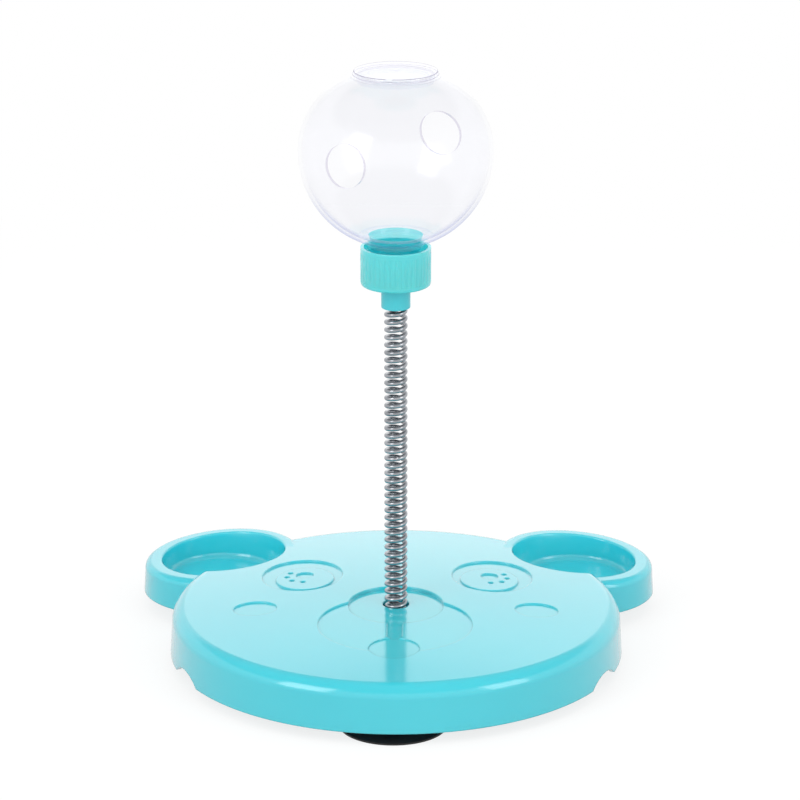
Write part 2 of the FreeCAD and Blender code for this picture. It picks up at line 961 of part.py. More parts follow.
def build_screw(doc, name):
    """A pan-head screw with its seat at z = 0 and its shank downward."""
    body = new_body(doc, name)
    head = size("screw_head_radius")
    shank = size("screw_shank_radius")
    tall = size("screw_head_height")
    tip = size("screw_tip_length")
    long = size("screw_length")
    revolved(body, f"{name}_turning", [
        (0, tall),
        (head, tall),
        (head, 0),
        (shank, 0),
        (shank, tip - long),
        (0, -long),
    ])
    wide = size("slot_width") / 2
    far = size("slot_length") / 2
    cross = [(wide, far), (wide, wide), (far, wide), (far, -wide), (wide, -wide), (wide, -far),
             (-wide, -far), (-wide, -wide), (-far, -wide), (-far, wide), (-wide, wide), (-wide, far)]
    sketch = outline_sketch(body, f"{name}_cross", cross, role="XY_Plane")
    bind(sketch, "AttachmentOffset.Base.z", tall)
    pocket(body, f"{name}_recess", sketch, size("slot_depth"))
    return body


def build_anchor_screws(doc):
    screws = []
    seat = size("boss_bottom") - size("anchor_thickness")
    for number, x, y in screw_spots():
        screw = build_screw(doc, f"anchor_screw{number}")
        tilt(screw, (1, 0, 0), as_size(180))
        place(screw, x=x, y=y, z=seat)
        screws.append(screw)
    group = doc.addObject("Part::Compound", "anchor_screws")
    group.Links = screws
    return group


def build_neck_screw(doc):
    screw = build_screw(doc, "neck_screw")
    place(screw, y=size("spring_y"), z=web_top())
    return screw


# Spring and the studs that its ends are wound on

def helix_point(angle):
    radius = SIZES["coil_radius"]
    height = coil_start().value + SIZES["spring_pitch"] * angle / (2 * math.pi)
    return FreeCAD.Vector(radius * math.cos(angle), radius * math.sin(angle), height)


def helix_direction(angle):
    radius = SIZES["coil_radius"]
    rise = SIZES["spring_pitch"] / (2 * math.pi)
    return FreeCAD.Vector(-radius * math.sin(angle), radius * math.cos(angle), rise).normalize()


def arc_to(start, corner, end):
    """The arc that leaves start toward corner and reaches end from it, both at the same distance."""
    half_turn = (corner - start).getAngle(end - corner) / 2
    weight = 2 * math.cos(half_turn)
    middle = (start + corner * weight + end) * (1 / (2 + weight))
    return Part.Arc(start, middle, end).toShape()


def biarc(first, last):
    """Two tangent arcs that follow the helix between two of its angles."""
    start, end = helix_point(first), helix_point(last)
    leaving, arriving = helix_direction(first), helix_direction(last)
    chord = end - start
    both = leaving + arriving
    square = 4 - both.dot(both)
    along = chord.dot(both)
    reach = (math.sqrt(along * along + square * chord.dot(chord)) - along) / square
    corner_a = start + leaving * reach
    corner_b = end - arriving * reach
    middle = (corner_a + corner_b) * 0.5
    return [arc_to(start, corner_a, middle), arc_to(middle, corner_b, end)]


def build_spring(doc):
    quarter_turns = 2 * int(SIZES["spring_half_turns"])
    step = math.pi / 2
    arcs = []
    for number in range(quarter_turns):
        arcs += biarc(number * step, (number + 1) * step)
    path = Part.Wire(arcs)
    section = Part.Circle(helix_point(0), helix_direction(0), SIZES["wire_radius"])
    shape = path.makePipeShell([Part.Wire(section.toShape())], True, False)
    spring = doc.addObject("Part::Feature", "spring")
    spring.Shape = shape
    spring.Placement = FreeCAD.Placement(FreeCAD.Vector(0, SIZES["spring_y"], 0), FreeCAD.Rotation())
    print_spring_gap(arcs)
    return spring


def print_spring_gap(arcs):
    """The least gap from the wire of one turn to the wire of the next, measured on points."""
    points = [point for arc in arcs for point in arc.discretize(EDGE_SAMPLES)[:-1]]
    turn = len(points) * 2 // int(SIZES["spring_half_turns"])
    least = min(a.distanceToPoint(b)
                for i, a in enumerate(points)
                for b in points[i + turn // 2:i + 2 * turn])
    print("spring: least gap to itself", round(least - 2 * SIZES["wire_radius"], 3), "mm")


def coil_ridge(body, name, middle):
    widths = (size("ridge_root"), size("ridge_crest"))
    return ridge(body, name, 1, stud_radius(), size("coil_radius"), middle, widths,
                 size("spring_pitch"), size("ridge_turns"))


def stud_bevel():
    return size("wire_radius") / 2


def build_spring_anchor(doc):
    body = new_body(doc, "spring_anchor")
    seat = size("boss_bottom")
    low = seat - size("anchor_thickness")
    top = seat + size("anchor_stud_height")
    stud = stud_radius()
    revolved(body, "anchor_turning", [
        (0, low),
        (size("boss_radius"), low),
        (size("boss_radius"), seat),
        (stud, seat),
        (stud, top - stud_bevel()),
        (stud - stud_bevel(), top),
        (0, top),
    ])
    coil_ridge(body, "anchor_ridge", coil_start() + size("spring_pitch") / 2)
    sketch = round_sketch(body, "anchor_hole_outline", 0, size("screw_ring_radius"),
                          size("web_hole_radius"), seat)
    hole = pocket(body, "anchor_hole", sketch, size("anchor_thickness") + size("overcut"))
    polar(body, "anchor_holes", hole, sketch, size("anchor_screw_count"))
    place(body, y=size("spring_y"))
    return body


def build_neck_plug(doc):
    body = new_body(doc, "neck_plug")
    top = web_bottom()
    low = top - size("plug_length")
    bore_end = web_top() - size("screw_length") - size("screw_end_gap")
    stud = stud_radius()
    revolved(body, "plug_turning", [
        (0, low),
        (stud - stud_bevel(), low),
        (stud, low + stud_bevel()),
        (stud, top),
        (pilot_radius(), top),
        (pilot_radius(), bore_end),
        (0, bore_end),
    ])
    whole_turns = int(SIZES["spring_half_turns"]) // 2
    last_turn = coil_start() + whole_turns * size("spring_pitch")
    coil_ridge(body, "plug_ridge", last_turn - size("spring_pitch") / 2)
    place(body, y=size("spring_y"))
    return body


def build_spring_socket(doc):
    body = new_body(doc, "spring_socket")
    bore = coil_outside() + size("spring_side_gap")
    low = collar_bottom()
    turning = revolved(body, "socket_turning", [
        (bore, low),
        (size("collar_radius"), low),
        (size("collar_radius"), flange_bottom()),
        (size("socket_flange_radius"), flange_bottom()),
        (size("socket_flange_radius"), flange_top()),
        (size("screw_well_radius"), flange_top()),
        (size("screw_well_radius"), web_top()),
        (size("web_hole_radius"), web_top()),
        (size("web_hole_radius"), web_bottom()),
        (bore, web_bottom()),
    ])
    fillet(doc, body, "collar_edge", turning, size("collar_round"), ring_at(low, size("collar_radius")))
    place(body, y=size("spring_y"))
    return body


# Screw cap

def build_cap(doc):
    body = new_body(doc, "cap")
    hole = size("collar_radius") + size("cap_turn_gap")
    low = cap_bottom()
    high = low + size("cap_height")
    turning = revolved(body, "cap_turning", [
        (hole, low),
        (size("cap_radius"), low),
        (size("cap_radius"), high),
        (cap_bore(), high),
        (cap_bore(), cap_floor_top()),
        (hole, cap_floor_top()),
    ])
    fillet(doc, body, "cap_edge", turning, size("cap_edge_round"), ring_at(low, size("cap_radius")))
    reach = size("cap_radius") + size("flute_radius") - size("flute_depth")
    sketch = round_sketch(body, "flute_outline", reach, 0, size("flute_radius"),
                          high - size("flute_margin"))
    flute = pocket(body, "flute", sketch, size("cap_height") - 2 * size("flute_margin"))
    polar(body, "flutes", flute, sketch, size("flute_count"))
    widths = (size("thread_root"), size("thread_crest"))
    ridge(body, "cap_thread", -1, cap_bore(), cap_bore() - size("thread_depth"),
          neck_thread_middle() + size("thread_pitch") / 2, widths,
          size("thread_pitch"), size("thread_turns"))
    place(body, y=size("spring_y"))
    return body


# Treat ball

def ball_top_height():
    return size("ball_radius") - size("ball_flattening")


def shoulder_radius():
    return ball_top_height() - size("crown_rise")


def shoulder_centre():
    return size("ball_radius") - shoulder_radius()


def crown_radius():
    """Radius of the ball's flatter crown, which meets the shoulder arc without a corner."""
    side = shoulder_centre()
    rise = size("crown_rise")
    return shoulder_radius() + (side * side + rise * rise) / (2 * rise)


def crown_middle():
    return ball_middle() + ball_top_height() - crown_radius()


def crown_join(radius):
    """Where the shoulder and the crown meet, for a surface with this shoulder radius."""
    side = shoulder_centre()
    drop = ball_middle() - crown_middle()
    slant = crown_radius() - shoulder_radius()
    return side + radius * side / slant, ball_middle() + radius * drop / slant


def rim_top():
    rim = size("mouth_rim_radius")
    return crown_middle() + leg(crown_radius(), rim) + size("mouth_rim_height")


def mouth_radius():
    return size("mouth_rim_radius") - size("mouth_rim_width")


def ball_outline():
    wall = size("ball_wall")
    middle = ball_middle()
    outside = size("ball_radius")
    inside = outside - wall
    shoulder = shoulder_radius()
    crown = crown_radius()
    rim = size("mouth_rim_radius")
    mouth = mouth_radius()
    neck = neck_outside()
    bore = neck - size("neck_wall")
    floor = ball_flat() + size("ball_floor")
    sphere = (0, middle, outside)
    sphere_inside = (0, middle, inside)
    shoulder_arc = (shoulder_centre(), middle, shoulder)
    shoulder_inside = (shoulder_centre(), middle, shoulder - wall)
    crown_arc = (0, crown_middle(), crown)
    crown_inside = (0, crown_middle(), crown - wall)
    return [
        (bore, neck_end()),
        (neck, neck_end()),
        (neck, ball_flat()),
        (size("ball_flat_radius"), ball_flat(), sphere),
        (outside, middle, shoulder_arc),
        (*crown_join(shoulder), crown_arc),
        (rim, rim_top() - size("mouth_rim_height")),
        (rim, rim_top()),
        (mouth, rim_top()),
        (mouth, crown_middle() + leg(crown - wall, mouth), crown_inside),
        (*crown_join(shoulder - wall), shoulder_inside),
        (inside, middle, sphere_inside),
        (leg(inside, middle - floor), floor),
        (bore + size("neck_flare"), floor),
        (bore, ball_flat() - size("neck_flare")),
    ]


def leak_cutter(doc, side, sideways):
    turned = size(f"leak_{side}_turn")
    rise = size(f"leak_{side}_rise")
    direction = (sideways * sine(turned) * cosine(rise), -cosine(turned) * cosine(rise), sine(rise))
    start = size("ball_radius") / 2
    x, y, z = (start * part for part in direction)
    hole = cylinder(doc, f"leak_{side}", size("leak_radius"), size("ball_radius"),
                    x=x, y=size("spring_y") + y, z=ball_middle() + z)
    aim(hole, [part.value for part in direction])
    return hole


def build_ball(doc):
    body = new_body(doc, "ball_body")
    revolved(body, "ball_turning", ball_outline())
    widths = (size("thread_root"), size("thread_crest"))
    ridge(body, "neck_thread", 1, neck_outside(), neck_outside() + size("thread_depth"),
          neck_thread_middle(), widths, size("thread_pitch"), size("thread_turns"))
    place(body, y=size("spring_y"))
    holes = fuse(doc, "leak_holes", [leak_cutter(doc, "left", -1), leak_cutter(doc, "right", 1)])
    return cut(doc, "ball", body, holes)


def build_fill_lid(doc):
    body = new_body(doc, "fill_lid")
    seat = rim_top() + size("lid_seat_gap")
    top = seat + size("lid_thickness")
    plug = mouth_radius() - size("lid_plug_gap")
    dot = size("gate_dot_radius")
    turning = revolved(body, "lid_turning", [
        (0, top + size("gate_dot_height")),
        (dot, top + size("gate_dot_height")),
        (dot, top),
        (size("lid_top_radius"), top),
        (size("lid_edge_radius"), seat),
        (plug, seat),
        (plug, seat - size("lid_plug_depth")),
        (plug - size("lid_plug_wall"), seat - size("lid_plug_depth")),
        (plug - size("lid_plug_wall"), seat),
        (0, seat),
    ])
    fillet(doc, body, "lid_edge", turning, size("lid_edge_round"), ring_at(top, size("lid_top_radius")))
    angle = size("pry_notch_angle")
    edge = size("lid_edge_radius")
    sketch = round_sketch(body, "pry_notch_outline", -edge * sine(angle), -edge * cosine(angle),
                          size("pry_notch_radius"), top + size("overcut"))
    pocket(body, "pry_notch", sketch, size("lid_thickness") + 2 * size("overcut"))
    place(body, y=size("spring_y"))
    return body


# Build, check and write

def build_nodes(doc):
    nodes = {"base_shell": build_base_shell(doc)}
    for name, (x, y) in foot_spots().items():
        nodes[f"suction_foot_{name}"] = build_suction_foot(doc, f"suction_foot_{name}", x, y)
    nodes["spring_anchor"] = build_spring_anchor(doc)
    nodes["anchor_screws"] = build_anchor_screws(doc)
    nodes["spring"] = build_spring(doc)
    nodes["spring_socket"] = build_spring_socket(doc)
    nodes["neck_plug"] = build_neck_plug(doc)
    nodes["neck_screw"] = build_neck_screw(doc)
    nodes["cap"] = build_cap(doc)
    nodes["ball"] = build_ball(doc)
    nodes["fill_lid"] = build_fill_lid(doc)
    return nodes


def check(doc, nodes):
    for thing in doc.Objects:
        if {"Invalid", "Error"} & set(thing.State):
            raise RuntimeError(f"{thing.Label} failed: {thing.State}")
    for name, thing in nodes.items():
        if thing.Shape.isNull() or not thing.Shape.isValid():
            raise RuntimeError(f"{name} has no valid shape")


def main():
    os.makedirs("parts", exist_ok=True)
    doc = FreeCAD.newDocument("wobble_treat_dispenser")
    fill_sheet(doc)
    nodes = build_nodes(doc)
    doc.recompute()
    for name, thing in nodes.items():
        thing.Label = name
    check(doc, nodes)
    for name, thing in nodes.items():
        shape = thing.Shape
        shape.exportStep(f"parts/{name}.step")
        print(name, len(shape.Solids), "solid", round(shape.Volume / 1000, 2), "cm3")


main()
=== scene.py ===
import bpy
import math
from mathutils import Euler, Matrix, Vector


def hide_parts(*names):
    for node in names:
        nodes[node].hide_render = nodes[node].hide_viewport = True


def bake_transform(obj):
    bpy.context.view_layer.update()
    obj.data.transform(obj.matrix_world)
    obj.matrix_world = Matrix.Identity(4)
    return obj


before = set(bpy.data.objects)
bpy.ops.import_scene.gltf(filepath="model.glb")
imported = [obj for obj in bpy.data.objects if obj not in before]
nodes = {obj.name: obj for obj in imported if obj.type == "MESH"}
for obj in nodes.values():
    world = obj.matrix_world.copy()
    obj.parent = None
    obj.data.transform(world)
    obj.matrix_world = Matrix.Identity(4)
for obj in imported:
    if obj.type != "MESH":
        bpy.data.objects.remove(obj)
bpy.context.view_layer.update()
scene = bpy.context.scene

# Camera, as the photograph was taken
AIM = Vector((0.0019, 0.0, 0.1369))
CAMERA_DISTANCE = 1.832
CAMERA_PITCH = math.radians(17.8)
CAMERA_TURN = math.radians(0.87)
LENS = 166.5
SENSOR = 36.0
CLIP_END = 20

# Room: a white backdrop, with a greyer ceiling that only mirrors show
WHITE = 1.0
CEILING = 0.5
BACKDROP_TOP = math.radians(28)
CEILING_START = math.radians(37)

# Soft light: the most from in front and above, and a weaker one from everywhere else
LIGHT_FROM = (0.0, -0.8, 0.6)
LIGHT_LOW = 0.58
LIGHT_HIGH = 1.14
LIGHT_LOW_UP_TO = -0.2
LIGHT_HIGH_FROM = 0.9

# Lamps: name, place, width and height, and power in watts. Each one points at AIM.
LAMPS = (
    ("left_lamp", (-1.28, -1.24, 0.92), (0.85, 1.2), 7),
    ("right_lamp", (1.55, -1.02, 0.68), (0.75, 1.2), 5),
    ("rear_lamp", (0.0, 1.6, 0.62), (0.9, 0.9), 0.8),
)

# Floor: it keeps the shadow near the object, and from there on turns into plain white paper
FLOOR_HALF = 4.0
FLOOR_ROUGHNESS = 0.9
SHADOW_END = 0.5
PAPER_START = 0.9
CAMERA_GLOW = 0.8
MIRROR_GLOW = 0.63
FLOOR_SEEN = (0.22, 0.22, 0.22)
FLOOR_BOUNCE = (0.55, 0.55, 0.55)

# Spring, in the frame's metres
SPRING_AXIS = (0.0, -0.0097)
WIRE_RADIUS = 0.0012
COIL_RADIUS = 0.0046
SPRING_PITCH = 0.0039
SPRING_HALF_TURNS = 89
SPRING_FOOT = 0.021
SPRING_MIDDLE = 0.111
STEPS_PER_TURN = 32
WIRE_SIDES = 16

# Heights and places on the cap, the ball and the lid, in the frame's metres
CAP_RIM = 0.2183
BALL_NECK = 0.222
BALL_FLOOR = 0.2245
LEAK_HOLES_START = 0.24
BALL_RIM_FADE = 0.252
LEAK_HOLES_END = 0.296
MOUTH_RIM = 0.3031
LID_SEAT = 0.3041
BALL_MIDDLE = (0.0, -0.0097, 0.2661)
NECK_BORE = 0.0136
EDGE_LINE = 0.00035
NECK_FADE = 4 * EDGE_LINE

# Tints of the clear plastic: the skin and lid tints are its own colour, the others are painted
# shade and the cap's teal painted into the neck
SKIN_TINT = (0.990, 0.991, 1.0)
# Painted shade: the cut faces of the leak holes and the mouth rim are drawn darker
CUT_PAINTED_SHADE = (0.80, 0.78, 0.85)
# Painted shade: a darker edge-on band low on the ball, near the cap
LOW_RIM_PAINTED_SHADE = (0.72, 0.75, 0.90)
# Painted teal: the cap's colour put into the neck's bore, as if seen through the clear neck
NECK_PAINTED_CAP_TEAL = (0.34, 0.85, 0.88)
LID_TINT = (0.975, 0.977, 0.993)
# Painted shade: the lid's rounded edge, and a painted shadow line where the lid sits on the ball
LID_EDGE_PAINTED_SHADE = (0.58, 0.56, 0.66)

# Where the painted shade sets in, each from none to full. Facing is 1 on the ball's skin and the
# lid's top and 0 on a face across them. Grazing is 1 where a face is seen edge on.
CUT_FACING = (0.85, 0.5)
LOW_GRAZING = (0.66, 0.9)
LID_SIDE_FACING = (0.8, 0.5)
# The painted shade on the lid's rounded edge sets in between the first two and goes again between
# the last two
LID_ROUND_FACING = (0.35, 0.5, 0.95, 0.995)

# Reflection of the clear plastic, seen square on and added edge on
FACE_MIRROR = 0.04
EDGE_MIRROR = 0.6
EDGE_POWER = 5.0
GRAZING_BLEND = 0.5
CLEAR_ROUGHNESS = (0.13, 0.17)
CLEAR_WAVE_HEIGHT = 0.00006
CLEAR_BOUNCES = 24

# Moulded plastic
PLASTIC_IOR = 1.55
COAT_IOR = 1.6
COAT_ROUGHNESS = 0.11
GLOW_REACH = (0.3, 0.6, 0.7)

# Metal and rubber
METAL_GRAIN_HEIGHT = 0.00001
RUBBER_COLOURS = ("0B0B0C", "161618")
RUBBER_ROUGHNESS = (0.42, 0.58)
RUBBER_GRAIN_HEIGHT = 0.00003

# Noise textures, each a scale and a detail, and the range that most of their values lie in
PLASTIC_DRIFT = (9.0, 3.0)
PLASTIC_GLOSS = (40.0, 2.0)
PLASTIC_PEEL = (260.0, 2.0)
CLEAR_GLOSS = (30.0, 2.0)
CLEAR_WAVES = (22.0, 1.0)
METAL_DRIFT = (90.0, 2.0)
METAL_GLOSS = (600.0, 3.0)
METAL_GRAIN = (1500.0, 2.0)
RUBBER_DRIFT = (30.0, 2.0)
RUBBER_GLOSS = (120.0, 2.0)
RUBBER_GRAIN = (900.0, 3.0)
NOISE_LOW = 0.3
NOISE_HIGH = 0.7

# A Mix node's sockets by what it mixes: its two inputs and its result
MIX_SOCKETS = {"RGBA": (6, 7, 2), "FLOAT": (2, 3, 0)}


# Node helpers

def new_material(name):
    material = bpy.data.materials.new(name)
    material.use_nodes = True
    tree = material.node_tree
    return material, tree, tree.nodes["Principled BSDF"]


def feed(tree, slot, value):
    """Gives an input its value: another socket, a number, a vector or a colour."""
    if isinstance(value, bpy.types.NodeSocket):
        tree.links.new(value, slot)
    elif slot.type == "RGBA":
        slot.default_value = (*value, 1.0)
    else:
        slot.default_value = value


def coordinates(tree, kind="Object"):
    return tree.nodes.new("ShaderNodeTexCoord").outputs[kind]


def upward(tree, place):
    """The Z of a place."""
    parts = tree.nodes.new("ShaderNodeSeparateXYZ")
    feed(tree, parts.inputs[0], place)
    return parts.outputs["Z"]


def maths(tree, operation, *values):
    """A sum, product or power of sockets and numbers."""
    node = tree.nodes.new("ShaderNodeMath")
    node.operation = operation
    for slot, value in zip(node.inputs, values):
        feed(tree, slot, value)
    return node.outputs[0]


def vectors(tree, operation, *values):
    node = tree.nodes.new("ShaderNodeVectorMath")
    node.operation = operation
    for slot, value in zip(node.inputs, values):
        feed(tree, slot, value)
    return node.outputs["Value" if operation in ("DOT_PRODUCT", "LENGTH") else "Vector"]


def mapped(tree, value, start, end, low=0.0, high=1.0, course="SMOOTHSTEP"):
    """A number that goes from low to high as value goes from start to end."""
    node = tree.nodes.new("ShaderNodeMapRange")
    node.interpolation_type = course
    node.inputs["From Min"].default_value = start
    node.inputs["From Max"].default_value = end
    node.inputs["To Min"].default_value = low
    node.inputs["To Max"].default_value = high
    feed(tree, node.inputs["Value"], value)
    return node.outputs["Result"]


def band(tree, value, start, full, fading, end):
    """Goes smoothly from 0 to 1 between start and full, and back to 0 between fading and end."""
    rising = mapped(tree, value, start, full)
    falling = mapped(tree, value, end, fading)
    return maths(tree, "MULTIPLY", rising, falling)


def line_at(tree, value, middle):
    """A thin line, 1 at middle and 0 from an edge line's width away on."""
    return band(tree, value, middle - EDGE_LINE, middle, middle, middle + EDGE_LINE)


def mixed(tree, kind, factor, first, second):
    """A colour or a number between two others, each a socket or a value."""
    node = tree.nodes.new("ShaderNodeMix")
    node.data_type = kind
    first_slot, second_slot, result = MIX_SOCKETS[kind]
    feed(tree, node.inputs[0], factor)
    feed(tree, node.inputs[first_slot], first)
    feed(tree, node.inputs[second_slot], second)
    return node.outputs[result]


def noise(tree, texture):
    node = tree.nodes.new("ShaderNodeTexNoise")
    node.inputs["Scale"].default_value, node.inputs["Detail"].default_value = texture
    feed(tree, node.inputs["Vector"], coordinates(tree))
    return node.outputs["Fac"]


def noisy_colour(tree, texture, colours):
    """A colour that drifts between two written screen colours."""
    node = tree.nodes.new("ShaderNodeValToRGB")
    for stop, at, colour in zip(node.color_ramp.elements, (NOISE_LOW, NOISE_HIGH), colours):
        stop.position = at
        stop.color = (*tone(colour), 1.0)
    feed(tree, node.inputs["Fac"], noise(tree, texture))
    return node.outputs["Color"]


def noisy_number(tree, texture, limits):
    return mapped(tree, noise(tree, texture), NOISE_LOW, NOISE_HIGH, *limits, course="LINEAR")


def from_axis(tree):
    """How far a point is from the line up the middle of the spring."""
    offset = vectors(tree, "SUBTRACT", coordinates(tree), (*SPRING_AXIS, 0.0))
    flat = vectors(tree, "MULTIPLY", offset, (1.0, 1.0, 0.0))
    return vectors(tree, "LENGTH", flat)


def facing(tree, direction):
    """1 where a face looks along a direction or against it, and 0 where it stands across it."""
    along = vectors(tree, "DOT_PRODUCT", direction, coordinates(tree, "Normal"))
    return maths(tree, "ABSOLUTE", along)


def grazing(tree):
    """0 where a surface is seen square on and 1 where it is seen edge on."""
    node = tree.nodes.new("ShaderNodeLayerWeight")
    node.inputs["Blend"].default_value = GRAZING_BLEND
    return node.outputs["Facing"]


def bump(tree, shader, texture, distance):
    node = tree.nodes.new("ShaderNodeBump")
    node.inputs["Distance"].default_value = distance
    feed(tree, node.inputs["Height"], noise(tree, texture))
    feed(tree, shader.inputs["Normal"], node.outputs["Normal"])
    return node


def rays(tree):
    """1 on camera rays, else 0, and the same for mirrored and refracted rays."""
    path = tree.nodes.new("ShaderNodeLightPath").outputs
    mirrored = maths(tree, "MAXIMUM", path["Is Glossy Ray"], path["Is Transmission Ray"])
    return path["Is Camera Ray"], mirrored


def tone(hex_code):
    """A written screen colour as linear light."""
    parts = [int(hex_code[i:i + 2], 16) / 255 for i in (0, 2, 4)]
    return tuple(c / 12.92 if c <= 0.04045 else ((c + 0.055) / 1.055) ** 2.4 for c in parts)


# Materials

def moulded_plastic(name, colours, gloss, peel, coat=0.0, glow=0.08, depth=0.004, edge=0.0):
    """Glossy moulded plastic with a faint colour drift, uneven gloss and a fine orange peel."""
    material, tree, shader = new_material(name)
    feed(tree, shader.inputs["Base Color"], noisy_colour(tree, PLASTIC_DRIFT, colours))
    feed(tree, shader.inputs["Roughness"], noisy_number(tree, PLASTIC_GLOSS, gloss))
    shader.inputs["IOR"].default_value = PLASTIC_IOR
    shader.inputs["Coat Weight"].default_value = coat
    shader.inputs["Coat IOR"].default_value = COAT_IOR
    shader.inputs["Coat Roughness"].default_value = COAT_ROUGHNESS
    shader.inputs["Subsurface Weight"].default_value = glow
    shader.inputs["Subsurface Radius"].default_value = GLOW_REACH
    shader.inputs["Subsurface Scale"].default_value = depth
    grain = bump(tree, shader, PLASTIC_PEEL, peel)
    if edge:
        soft = tree.nodes.new("ShaderNodeBevel")
        soft.inputs["Radius"].default_value = edge
        feed(tree, grain.inputs["Normal"], soft.outputs["Normal"])
        feed(tree, shader.inputs["Coat Normal"], soft.outputs["Normal"])
    return material


def clear_plastic(name, tint_of):
    """Thin clear plastic: a tint over what is behind it, and a reflection that grows edge on."""
    material, tree, principled = new_material(name)
    tree.nodes.remove(principled)
    through = tree.nodes.new("ShaderNodeBsdfTransparent")
    feed(tree, through.inputs["Color"], tint_of(tree))
    mirror = tree.nodes.new("ShaderNodeBsdfGlossy")
    mirror.inputs["Color"].default_value = (1, 1, 1, 1)
    feed(tree, mirror.inputs["Roughness"], noisy_number(tree, CLEAR_GLOSS, CLEAR_ROUGHNESS))
    bump(tree, mirror, CLEAR_WAVES, CLEAR_WAVE_HEIGHT)
    edge_on = maths(tree, "POWER", grazing(tree), EDGE_POWER)
    edge_share = maths(tree, "MULTIPLY", edge_on, EDGE_MIRROR)
    mix = tree.nodes.new("ShaderNodeMixShader")
    feed(tree, mix.inputs["Fac"], maths(tree, "ADD", edge_share, FACE_MIRROR))
    feed(tree, mix.inputs[1], through.outputs[0])
    feed(tree, mix.inputs[2], mirror.outputs[0])
    feed(tree, tree.nodes["Material Output"].inputs["Surface"], mix.outputs[0])
    return material


def ball_tint(tree):
    """Nearly clear skin in the plastic's own tint, with painted shade where the wall is cut
    through and edge on near the cap, and the cap's teal painted into the neck.
    """
    outward = vectors(tree, "NORMALIZE", vectors(tree, "SUBTRACT", coordinates(tree), BALL_MIDDLE))
    up = upward(tree, coordinates(tree))
    # Painted shade on the leak holes' cut faces and in a thin dark line at the mouth rim
    holes = band(tree, up, BALL_FLOOR, LEAK_HOLES_START, LEAK_HOLES_END, MOUTH_RIM - EDGE_LINE)
    edges = maths(tree, "MAXIMUM", holes, line_at(tree, up, MOUTH_RIM))
    cut = maths(tree, "MULTIPLY", mapped(tree, facing(tree, outward), *CUT_FACING), edges)
    tint = mixed(tree, "RGBA", cut, SKIN_TINT, CUT_PAINTED_SHADE)
    # Painted shade, seen edge on, in a band low on the ball near the cap
    low = band(tree, up, BALL_NECK - EDGE_LINE, BALL_NECK, BALL_FLOOR, BALL_RIM_FADE)
    low_painted_shade = maths(tree, "MULTIPLY", low, mapped(tree, grazing(tree), *LOW_GRAZING))
    tint = mixed(tree, "RGBA", low_painted_shade, tint, LOW_RIM_PAINTED_SHADE)
    # Painted teal of the cap, as seen through the clear neck, inside the neck's bore
    neck = band(tree, up, CAP_RIM - NECK_FADE, CAP_RIM, BALL_FLOOR - EDGE_LINE, BALL_FLOOR)
    inner = mapped(tree, from_axis(tree), NECK_BORE, NECK_BORE - EDGE_LINE)
    return mixed(tree, "RGBA", maths(tree, "MULTIPLY", neck, inner), tint, NECK_PAINTED_CAP_TEAL)


def lid_tint(tree):
    """Clear on the faces, with painted shade on the rounded edge and a painted shadow in a line
    where the lid is seated.
    """
    # Painted shade on the rounded edge, and a painted shadow in a line where the lid is seated
    level = facing(tree, (0.0, 0.0, 1.0))
    rounded = band(tree, level, *LID_ROUND_FACING)
    line = line_at(tree, upward(tree, coordinates(tree)), LID_SEAT)
    seated = maths(tree, "MULTIPLY", mapped(tree, level, *LID_SIDE_FACING), line)
    return mixed(tree, "RGBA", maths(tree, "MAXIMUM", rounded, seated), LID_TINT, LID_EDGE_PAINTED_SHADE)


def bright_metal(name, colours, gloss):
    material, tree, shader = new_material(name)
    shader.inputs["Metallic"].default_value = 1.0
    feed(tree, shader.inputs["Base Color"], noisy_colour(tree, METAL_DRIFT, colours))
    feed(tree, shader.inputs["Roughness"], noisy_number(tree, METAL_GLOSS, gloss))
    bump(tree, shader, METAL_GRAIN, METAL_GRAIN_HEIGHT)
    return material


def black_rubber(name):
    material, tree, shader = new_material(name)
    feed(tree, shader.inputs["Base Color"], noisy_colour(tree, RUBBER_DRIFT, RUBBER_COLOURS))
    feed(tree, shader.inputs["Roughness"], noisy_number(tree, RUBBER_GLOSS, RUBBER_ROUGHNESS))
    bump(tree, shader, RUBBER_GRAIN, RUBBER_GRAIN_HEIGHT)
    return material


SHELL = moulded_plastic("shell_plastic", ("30CBDB", "38D0DF"), gloss=(0.12, 0.18), peel=0.00002,
                        coat=1.0, glow=0.3, depth=0.008, edge=0.0009)
CAP = moulded_plastic("cap_plastic", ("52D8DE", "5CDEE3"), gloss=(0.22, 0.3), peel=0.00003,
                      coat=0.5, glow=0.85, depth=0.012)
SOCKET = moulded_plastic("socket_plastic", ("46CCD8", "4ED2DD"), gloss=(0.3, 0.4), peel=0.00003)
INNER = moulded_plastic("inner_plastic", ("E6E9E9", "F0F2F2"), gloss=(0.35, 0.45), peel=0.00003)
CLEAR = clear_plastic("clear_plastic", ball_tint)
LID_CLEAR = clear_plastic("lid_plastic", lid_tint)
SPRING_STEEL = bright_metal("spring_steel", ("9A9DA2", "B2B5BA"), gloss=(0.16, 0.26))
SCREW_STEEL = bright_metal("screw_steel", ("B4B6BA", "C6C8CC"), gloss=(0.25, 0.35))
RUBBER = black_rubber("foot_rubber")

NODE_MATERIALS = {
    "base_shell": SHELL,
    "cap": CAP,
    "spring_socket": SOCKET,
    "spring_anchor": INNER,
    "neck_plug": INNER,
    "anchor_screws": SCREW_STEEL,
    "neck_screw": SCREW_STEEL,
    "suction_foot_front": RUBBER,
    "suction_foot_rear_left": RUBBER,
    "suction_foot_rear_right": RUBBER,
    "ball": CLEAR,
    "fill_lid": LID_CLEAR,
}


def dress_nodes():
    for name, material in NODE_MATERIALS.items():
        slots = nodes[name].data.materials
        slots.clear()
        slots.append(material)


# Spring: one wire in two lengths, which meet at SPRING_MIDDLE

